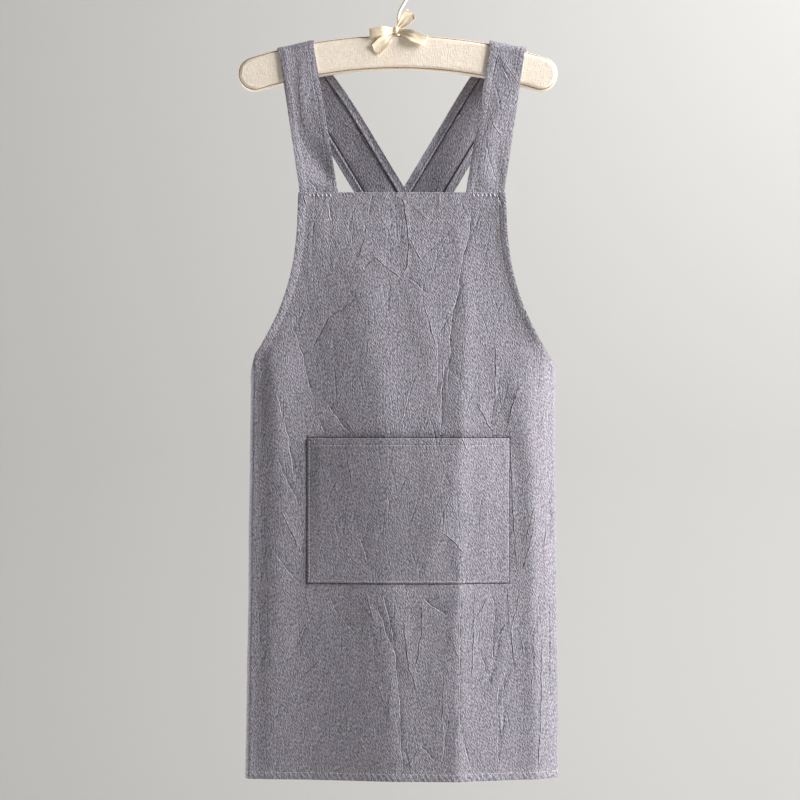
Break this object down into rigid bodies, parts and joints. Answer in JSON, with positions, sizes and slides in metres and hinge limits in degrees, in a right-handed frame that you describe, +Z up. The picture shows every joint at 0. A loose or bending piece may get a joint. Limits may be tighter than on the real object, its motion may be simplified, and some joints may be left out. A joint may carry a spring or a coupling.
{
  "type": "cross-back kitchen apron on a padded clothes hanger",
  "caption": "Linen-look kitchen apron with a bib, a wide patch pocket and straps that cross at the back, hanging from a padded hanger with a hook and a ribbon bow.",
  "frame": {"origin": "inside top of the hook, where the rail carries the hanger", "axes": "+Z up, +X to the viewer's right across the apron, -Y towards the viewer, out of the apron's front"},
  "size_m": [0.3912, 0.0619, 1.004],
  "materials": {
    "apron_cloth": "washed plain-weave cotton-linen in mauve grey, matt and creased",
    "pad_cloth": "cream cotton sateen over padding, with a corded edge",
    "hook_wrap": "cream tape wrapped over steel wire",
    "ribbon": "cream satin ribbon"
  },
  "bodies": {
    "root": {"apron_body": "apron_cloth", "pocket": "apron_cloth", "strap_left": "apron_cloth", "strap_right": "apron_cloth", "hanger_arm": "pad_cloth", "hanger_hook": "hook_wrap", "hanger_bow": "ribbon"}
  },
  "joints": []
}
